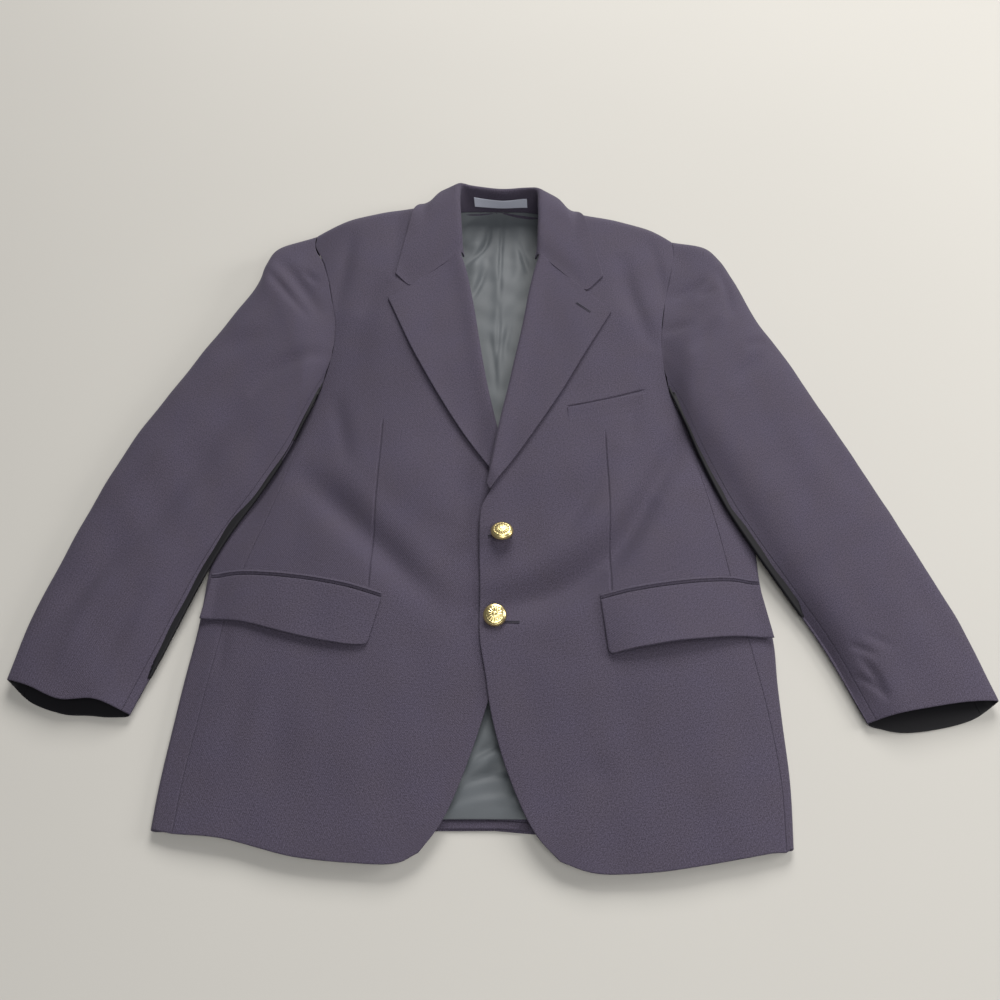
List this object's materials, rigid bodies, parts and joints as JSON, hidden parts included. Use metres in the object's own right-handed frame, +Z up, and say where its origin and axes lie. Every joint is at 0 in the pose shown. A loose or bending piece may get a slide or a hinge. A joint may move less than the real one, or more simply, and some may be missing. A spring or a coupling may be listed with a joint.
{
  "type": "blazer",
  "caption": "Single-breasted blazer with notched lapels, flap pockets, a breast welt and domed metal buttons, buttoned and laid flat on its back",
  "frame": {"origin": "centre of the bottom of the bounding box, on the surface that the blazer lies on", "axes": "+X to the wearer's left, +Y from the hem to the collar, +Z up from the surface that the blazer lies on"},
  "size_m": [0.9492, 0.8455, 0.057],
  "materials": {
    "worsted": "dark navy grey wool worsted with a fine twill weave and a soft dry sheen",
    "lining": "grey satin lining with a silky gloss",
    "label": "plain woven satin label with nothing on it",
    "button_brass": "polished stamped brass"
  },
  "bodies": {
    "root": {"back_left": "worsted", "back_right": "worsted", "side_left": "worsted", "side_right": "worsted", "front_left": "worsted", "front_right": "worsted", "lapel_left": "worsted", "lapel_right": "worsted", "collar": "worsted", "sleeve_top_left": "worsted", "sleeve_top_right": "worsted", "sleeve_under_left": "worsted", "sleeve_under_right": "worsted", "flap_left": "worsted", "flap_right": "worsted", "jetting_left": "worsted", "jetting_right": "worsted", "breast_welt": "worsted", "back_hem": "worsted", "back_lining": "lining", "neck_label": "label", "button_upper": "button_brass", "button_lower": "button_brass"}
  },
  "joints": []
}
